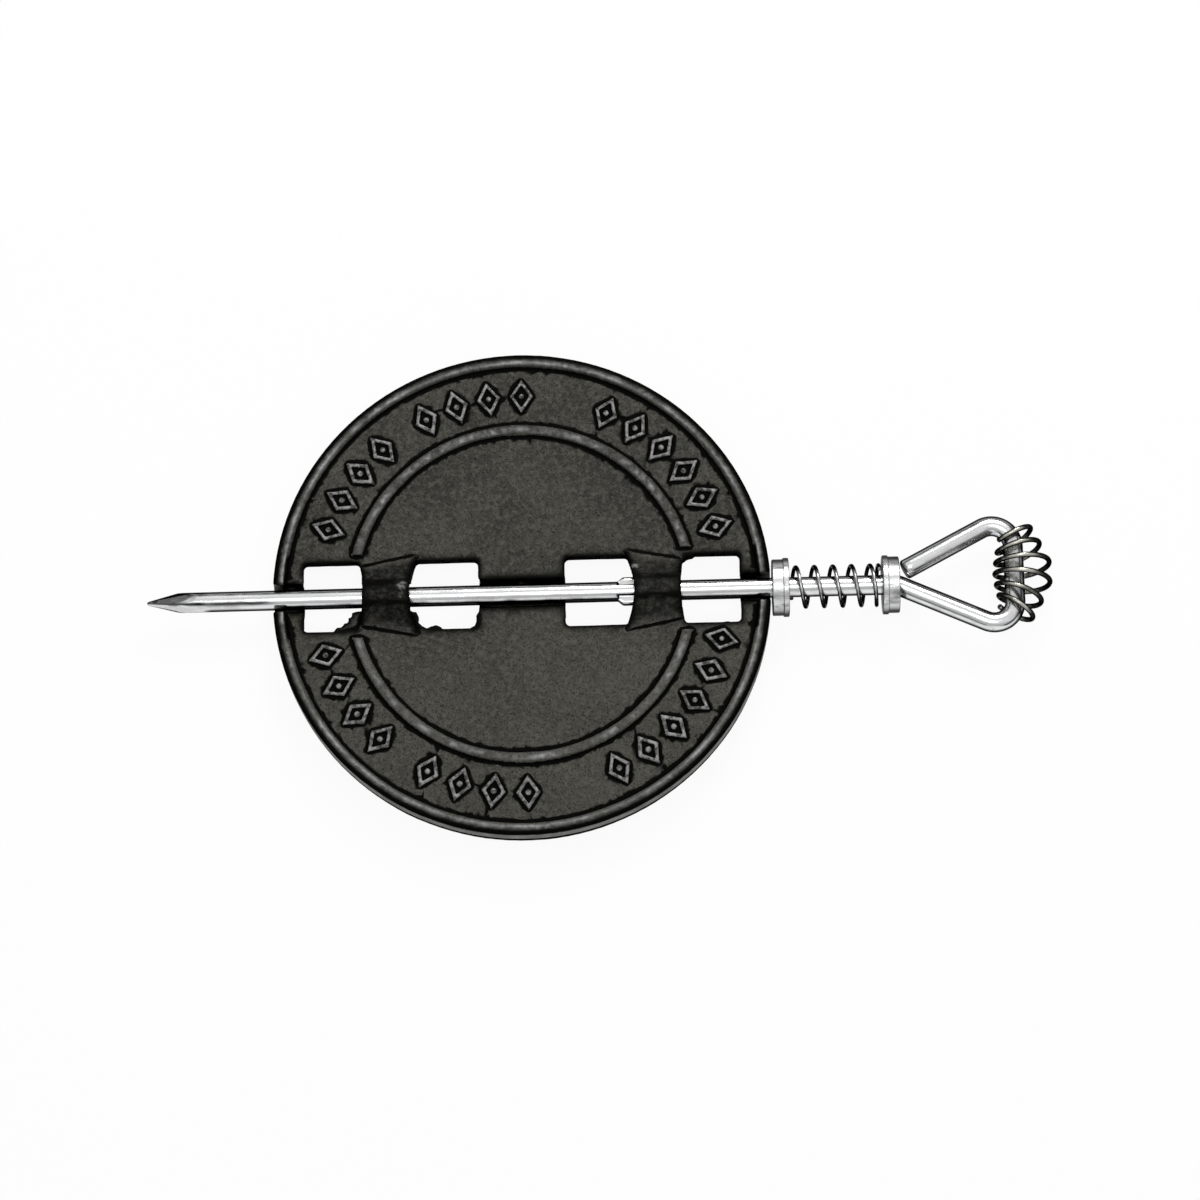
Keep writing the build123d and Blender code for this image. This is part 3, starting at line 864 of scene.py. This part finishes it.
def shank_radii(stations, tip, turned, look):
    """How far the shank's surface lies from its axis: a ground point, a round rod and two squeezed ears."""
    x = stations[:, None]
    across, up = np.abs(np.cos(turned))[None] + 1e-9, np.abs(np.sin(turned))[None] + 1e-9
    half = look.tip_width / 2 + (x - tip) * tan(look.point_angle)
    half = half * (1 - 0.35 * ramp(x, tip + 0.3 * MM, tip))
    from_facet = turned - pi / 4 - look.point_roll
    facing = np.maximum(np.abs(np.cos(from_facet)), np.abs(np.sin(from_facet)))[None]
    radii = soft_least(half / facing, ROD_RADIUS, 0.3 * MM)

    punch_start, punch_end = look.ear_end - 6.5 * MM, look.ear_end
    thin = look.ear_thickness / 2
    inside = np.minimum(x - punch_start, punch_end - x) / look.punch_slope
    deep = ROD_RADIUS - (ROD_RADIUS - thin) * np.clip(inside, 0, 1)
    deep = np.where(inside <= 0, 2 * ROD_RADIUS, deep)
    blend = 0.25 * MM
    squeezed = soft_least(soft_most(look.ridge_half_width / across, deep / up, blend), radii, blend)
    grown = ramp(x, look.ear_start - 0.2 * MM, look.ear_start + look.ear_rise)
    root = 0.7 * ROD_RADIUS
    ear = root + (look.ear_half_width - root) * grown
    ear = ear - 0.5 * MM * ramp(x, look.ear_end - 0.45 * MM, look.ear_end)
    slab = soft_least(ear / across, thin / up, 0.5 * MM)
    on_ear = (x > look.ear_start - 0.5 * MM) & (x <= look.ear_end)
    eared = np.where(on_ear, soft_most(squeezed, slab, blend), squeezed)
    near = (x > look.ear_start - 1.2 * MM) & (x < look.ear_end + 0.2 * MM)
    return np.where(near, eared, radii)


def spindle_painted_shading(mesh, centres, tip, turned, look):
    """Painted shading on the spindle: painted shade on its lower flank in the plate, a painted dark
    reflection along its left run, painted shade and highlights on its point and painted shade on the bar in
    the grip.

    Below nought it is a painted highlight on the flanks, as on the point's lower facet. Angles here are in
    degrees."""
    places, normals = places_and_normals(mesh)
    x = places[:, 0]
    ragged = noise_at(places, 300)
    left, right = PLATE[0].x, PLATE[1].x
    in_plate = ramp(x, left, left + 8 * MM) * ramp(x, right, right - 6 * MM)
    below_front = np.degrees(np.arctan2(-normals[:, 1], normals[:, 2]))
    # Painted shade on the rod's lower flank inside the plate.
    plate_shade = ramp(below_front + 8 * ragged, 38, 60) * ramp(below_front, 150, 110) * in_plate
    # A painted dark reflection: a dotted streak along the rod's left run.
    drawn = hump(below_front - 27 + 3 * ragged, 12) * ramp(ragged, -1.1, -0.4)
    drawn = drawn * ramp(x, -99 * MM, -90 * MM) * ramp(x, left + 2 * MM, left - 4 * MM)

    # Painted shade and highlight on the point: dark corners between the facets, a dark back facet, top edge
    # and patches, and a bright lower facet.
    from_facet = np.tile(np.degrees(turned - pi / 4 - look.point_roll), len(centres))
    corner = hump(np.mod(from_facet, 90) - 45, 12)
    back_facet = 0.75 * ramp(normals[:, 1], 0.2, 0.5) * ramp(ragged, 0.3, -0.1)
    top_edge = ramp(np.abs(np.tile(np.degrees(turned), len(centres)) - 26 + 8 * ragged), 24, 17)
    dark = np.maximum.reduce((0.97 * corner, back_facet, 0.8 * ramp(ragged, 0.1, 0.4), top_edge))
    bright = 1.7 * ramp(normals[:, 1], -0.5, -0.75) * (1 - corner)
    on_point = ramp(x, tip + 19 * MM, tip + 15 * MM) * (dark - bright)
    # Painted shade on the bar inside the grip.
    bar_x = centres[:, 0].max()
    grip_shade = ramp(x, bar_x - 1.5 * MM, bar_x + 0.5 * MM) * ramp(ragged, -0.5, 0.3)
    return np.clip(0.97 * plate_shade + 0.95 * drawn + on_point + 0.75 * grip_shade, -1, 1)


def spindle_mesh(look):
    """The bent rod with its ground point and squeezed ears, as one closed tube."""
    turned = 2 * pi * np.arange(look.sides) / look.sides
    stations, tip = shank_stations(look)
    radii = shank_radii(stations, tip, turned, look)
    handle = handle_line(look)
    centres = np.array([(x, 0, 0) for x in stations] + [tuple(p) for p, _ in handle])
    ways = np.array([(1, 0, 0)] * len(stations) + [tuple(w) for _, w in handle])
    plain = np.full((len(handle), look.sides), ROD_RADIUS)
    plain[-1] -= look.end_chamfer
    outs = np.cross(np.array([0, 0, 1.0]), ways)
    mesh = swept("spindle_rod", centres, ways, outs, np.concatenate((radii, plain)), turned)
    store(mesh, "painted_shading", spindle_painted_shading(mesh, centres, tip, turned, look))
    return mesh


# Wound wires

def spring_mesh_parts(look):
    """The spring in two stretches that meet at a plane, so that each can shorten with its own joint.

    It gets painted shade but for its front and lower front, which get a painted highlight. Given as (near
    mesh, far mesh, x of the plane, travel of each slide)."""
    radius = (look.outer_diameter - look.wire) / 2
    start = PIPE_WASHER[1].x + look.seat_gap + look.wire / 2
    run = HANDLE_WASHER[0].x - look.seat_gap - look.wire / 2 - start
    open_turns = look.turns - look.end_turns - look.blend_turns
    lead = look.end_lead + (run - look.end_lead * look.turns) / open_turns

    def blended(turn):
        if turn <= 0:
            return 0
        if turn < look.blend_turns:
            return turn * turn / (2 * look.blend_turns)
        return turn - look.blend_turns / 2

    def place(turn):
        opened = blended(turn) - blended(turn - open_turns)
        along = start + look.end_lead * turn + (lead - look.end_lead) * opened
        turned = look.start_angle + 2 * pi * turn
        return Vector((along, radius * cos(turned), radius * sin(turned)))

    def side_out(turn):
        turned = look.start_angle + 2 * pi * turn
        return Vector((0, cos(turned), sin(turned)))

    joints = {j["name"]: j["range_m"][1] for j in frame["joints"] if j["type"] == "slide"}
    whole = sum(joints.values())
    meet_x = PIPE_WASHER[1].x + (HANDLE_WASHER[0].x - PIPE_WASHER[1].x) * joints["wall_gap"] / whole
    meet = 0.0
    while place(meet).x < meet_x:
        meet += 1 / look.rings
    near = wound("spring_near", place, side_out, look, last=meet)
    far = wound("spring_far", place, side_out, look, first=meet)
    for mesh in (near, far):
        y, z = vertex_rows(mesh.vertices, "co")[:, 1:].T
        turned = np.degrees(np.arctan2(z, y))
        # Painted shading by the angle round the wire: a painted highlight on the front and lower front,
        # painted shade elsewhere.
        front = ramp(np.abs(turned - 90), 46, 22)
        below = 0.4 * ramp(turned, 105, 130) * ramp(turned, 180, 160)
        bright = np.maximum(front, below)
        store(mesh, "painted_shading", 0.74 * (1 - bright) - 0.75 * bright)
    return near, far, place(meet).x, joints


def grip_mesh(look, rod):
    """The barrel of wire on the handle's bar: even on its inner side, and fanned out on its outer side."""
    _, lower_bend, upper_bend, bar_way, bar_out = handle_layout(rod)
    bar_middle = (lower_bend + upper_bend) / 2 + bar_out * rod.handle_bend
    half_length = (upper_bend - lower_bend).length / 2 + look.overrun
    end_reach = ROD_RADIUS + look.end_clearance + look.wire / 2

    def sizes(turn):
        off_middle = 0.5 - turn / look.turns
        swell = cos(pi * off_middle) ** 2
        outer_reach = end_reach + look.swell * swell + look.lean * (0.5 + off_middle)
        inner_reach = end_reach + look.back_swell * swell
        turned = look.start_angle - 2 * pi * turn
        return off_middle, outer_reach, (outer_reach + inner_reach) / 2, turned

    def place(turn):
        off_middle, outer_reach, radius, turned = sizes(turn)
        outward = outer_reach - radius + radius * cos(turned)
        fanned = look.fan * sin(pi * off_middle) * (1 + cos(turned)) / 2
        along = 2 * half_length * off_middle + fanned
        return bar_middle + bar_way * along + bar_out * outward + Vector((0, 0, radius * sin(turned)))

    def side_out(turn):
        turned = sizes(turn)[3]
        return bar_out * cos(turned) + Vector((0, 0, sin(turned)))

    return wound("grip_winding", place, side_out, look, wobble=look.wobble)


# Stage

# Name, power in watts, size, azimuth and elevation in degrees, distance and colour of each lamp
LAMPS = (
    ("key_lamp", 5.5, 0.35, 165, 42, 1.1, (1.0, 0.99, 0.97)),
    ("top_lamp", 1.6, 0.45, 0, 82, 1.2, (0.98, 0.99, 1.0)),
)


def away_from(azimuth, elevation):
    """The way from the plate's centre to something that stands at these angles."""
    level = cos(elevation)
    return Vector((sin(azimuth) * level, -cos(azimuth) * level, sin(elevation)))


def area_lamp(name, power, size, azimuth, elevation, distance, shade):
    """A soft square lamp that points at the plate's centre."""
    lamp = bpy.data.lights.new(name, "AREA")
    lamp.energy = power
    lamp.shape = "SQUARE"
    lamp.size = size
    lamp.color = shade
    holder = new_object(name, lamp)
    away = away_from(radians(azimuth), radians(elevation))
    holder.location = away * distance
    holder.rotation_euler = away.to_track_quat("Z", "Y").to_euler()


def studio_world():
    """A soft room: bright ceiling and front, dark back, a grey card in front and a white cove round it."""
    world = bpy.data.worlds.new("studio")
    bpy.context.scene.world = world
    world.use_nodes = True
    world.node_tree.nodes.clear()
    nodes = Nodes(world.node_tree)
    way = nodes.axes(nodes.add("ShaderNodeTexCoord").outputs["Generated"])
    back, height = way["Y"], way["Z"]
    ceiling = nodes.fit(height, 0.36, 0.66, 0.06, 0.78)
    front = nodes.fit(back, -0.82, -0.9, 0.0, 0.9)
    cove = nodes.fit(height, 0.13, 0.18, 0.95, 0.0)
    card = nodes.times(nodes.fit(back, -0.84, -0.78), nodes.fit(back, -0.5, -0.58))
    room = nodes.most(nodes.most(ceiling, front), cove)
    room = nodes.times(room, nodes.maths("SUBTRACT", 1.0, nodes.times(card, 0.35)))
    light = nodes.add("ShaderNodeBackground", {"Color": (1, 1, 1), "Strength": room})
    nodes.add("ShaderNodeOutputWorld", {"Surface": light.outputs[0]})


def pale_floor(look):
    """A wide pale floor just under the object. The camera sees it near white, with the object's shadow."""
    mesh = bpy.data.meshes.new("floor")
    half = 3.0
    corners = [(x * half, y * half, CAD_BOX[0].z) for x, y in ((-1, -1), (1, -1), (1, 1), (-1, 1))]
    mesh.from_pydata(corners, [], [(0, 1, 2, 3)])
    floor = new_object("floor", mesh)
    material, nodes, shader = new_material("pale_floor")
    tone = nodes.fit(nodes.noise(nodes.object_place(), 6, 3.0), 0.3, 0.7)
    nodes.fill(shader, {
        "Base Color": nodes.mix(tone, tuple(0.98 * v for v in look.floor), look.floor),
        "Roughness": 0.9,
        "Specular IOR Level": 0.1,
    })
    glow = nodes.add("ShaderNodeEmission", {"Color": (1, 1, 1), "Strength": 1.0})
    rays = nodes.add("ShaderNodeLightPath").outputs
    seen = nodes.most(rays["Is Camera Ray"], rays["Is Glossy Ray"])
    seen = nodes.most(seen, rays["Is Transmission Ray"])
    amount = nodes.times(seen, look.floor_glow)
    both = nodes.add("ShaderNodeMixShader", {0: amount, 1: shader.outputs[0], 2: glow.outputs[0]})
    out = next(n for n in nodes.tree.nodes if n.type == "OUTPUT_MATERIAL")
    nodes.fill(out, {"Surface": both.outputs[0]})
    mesh.materials.append(material)


def photo_camera(look):
    """The camera where the photographer stood, high over the plate."""
    lens = bpy.data.cameras.new("camera")
    lens.lens, lens.sensor_width = look.lens, 36
    lens.clip_start, lens.clip_end = 0.05, 20
    camera = new_object("camera", lens)
    roll = look.roll
    back = away_from(look.azimuth, look.elevation)
    level = Vector((cos(look.azimuth), sin(look.azimuth), 0))
    upright = back.cross(level)
    right = level * cos(roll) - upright * sin(roll)
    up = level * sin(roll) + upright * cos(roll)
    turn = Matrix((right, up, back)).transposed().to_4x4()
    camera.matrix_world = Matrix.Translation(Vector(look.aim) + back * look.distance) @ turn
    bpy.context.scene.camera = camera


# Operators

class DAMPER_OT_plate(bpy.types.Operator):
    """Make the cast iron plate with its rim, ring, windows, bridges and band of lozenges"""

    bl_idname = "damper.plate"
    bl_label = "Cast plate"

    def execute(self, context):
        look = context.scene.damper_plate
        piece = link_piece("plate_casting", cast_plate(look), iron_material(look), "plate_side")
        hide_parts("damper_plate")
        return {"FINISHED"}


class DAMPER_OT_spindle(bpy.types.Operator):
    """Make the steel spindle with its ground point, squeezed ears and bent handle"""

    bl_idname = "damper.spindle"
    bl_label = "Spindle"

    def execute(self, context):
        look = context.scene.damper_spindle
        material = zinc_material(
            "zinc_rod", look, polish=0.16, bloom=0.55, relief=0.05 * MM, flanks=(0.24, 0.5, 0.95)
        )
        piece = link_piece("spindle_rod", spindle_mesh(look), material, "spindle_side")
        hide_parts("spindle")
        return {"FINISHED"}


class DAMPER_OT_washers(bpy.types.Operator):
    """Give the two washers their plated finish"""

    bl_idname = "damper.washers"
    bl_label = "Washers"

    def execute(self, context):
        look = context.scene.damper_washers
        material = zinc_material(
            "zinc_washer", look, polish=0.26, bloom=0.8, relief=0.12 * MM, flanks=(0.22, 0.62, 0.92),
            drawn=False,
        )
        for name in ("pipe_washer", "handle_washer"):
            mesh = frame["nodes"][name].data
            mesh.materials.clear()
            mesh.materials.append(material)
        return {"FINISHED"}


class DAMPER_OT_spring(bpy.types.Operator):
    """Wind the spring between the washers"""

    bl_idname = "damper.spring"
    bl_label = "Spring"

    def execute(self, context):
        look = context.scene.damper_spring
        material = zinc_material(
            "zinc_spring", look, polish=0.2, bloom=0.8, relief=0.03 * MM, flanks=(0.05, 0.26, 0.98)
        )
        near_mesh, far_mesh, meet_x, joints = spring_mesh_parts(look)
        near = link_piece("spring_near", near_mesh, material, "spring_side")
        far = link_piece("spring_far", far_mesh, material, "plate_side")
        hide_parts("spring")
        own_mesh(near)
        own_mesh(far)
        return {"FINISHED"}


class DAMPER_OT_grip(bpy.types.Operator):
    """Wind the barrel of wire on the handle"""

    bl_idname = "damper.grip"
    bl_label = "Wire grip"

    def execute(self, context):
        look = context.scene.damper_grip
        material = zinc_material(
            "zinc_grip", look, polish=0.24, bloom=0.9, relief=0.04 * MM, flanks=(0.06, 0.3, 0.97)
        )
        mesh = grip_mesh(look, context.scene.damper_spindle)
        piece = link_piece("grip_winding", mesh, material, "spindle_side")
        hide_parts("grip_coil")
        return {"FINISHED"}


class DAMPER_OT_stage(bpy.types.Operator):
    """Set up the floor, the lamps and the camera"""

    bl_idname = "damper.stage"
    bl_label = "Stage"

    def execute(self, context):
        look = context.scene.damper_stage
        context.scene.view_settings.view_transform = "Standard"
        studio_world()
        pale_floor(look)
        for lamp in LAMPS:
            area_lamp(*lamp)
        photo_camera(look)
        return {"FINISHED"}


class DAMPER_PT_sidebar(bpy.types.Panel):
    """The damper's pieces, one button each"""

    bl_idname = "DAMPER_PT_sidebar"
    bl_label = "Stovepipe damper"
    bl_space_type = "VIEW_3D"
    bl_region_type = "UI"
    bl_category = "Damper"

    def draw(self, context):
        for operator in OPERATORS:
            self.layout.operator(operator.bl_idname)


LOOKS = {
    "damper_plate": PlateLook,
    "damper_spindle": SpindleLook,
    "damper_washers": WasherLook,
    "damper_spring": SpringLook,
    "damper_grip": GripLook,
    "damper_stage": StageLook,
}
OPERATORS = (
    DAMPER_OT_plate,
    DAMPER_OT_spindle,
    DAMPER_OT_washers,
    DAMPER_OT_spring,
    DAMPER_OT_grip,
    DAMPER_OT_stage,
)


def register():
    for look in LOOKS.values():
        bpy.utils.register_class(look)
    for name, look in LOOKS.items():
        setattr(bpy.types.Scene, name, PointerProperty(type=look))
    for kind in (*OPERATORS, DAMPER_PT_sidebar):
        bpy.utils.register_class(kind)


def unregister():
    for kind in (DAMPER_PT_sidebar, *reversed(OPERATORS)):
        bpy.utils.unregister_class(kind)
    for name in LOOKS:
        delattr(bpy.types.Scene, name)
    for look in reversed(LOOKS.values()):
        bpy.utils.unregister_class(look)


def main():
    register()
    bpy.ops.damper.plate()
    bpy.ops.damper.spindle()
    bpy.ops.damper.washers()
    bpy.ops.damper.spring()
    bpy.ops.damper.grip()
    bpy.ops.damper.stage()


if __name__ == "__main__":
    main()
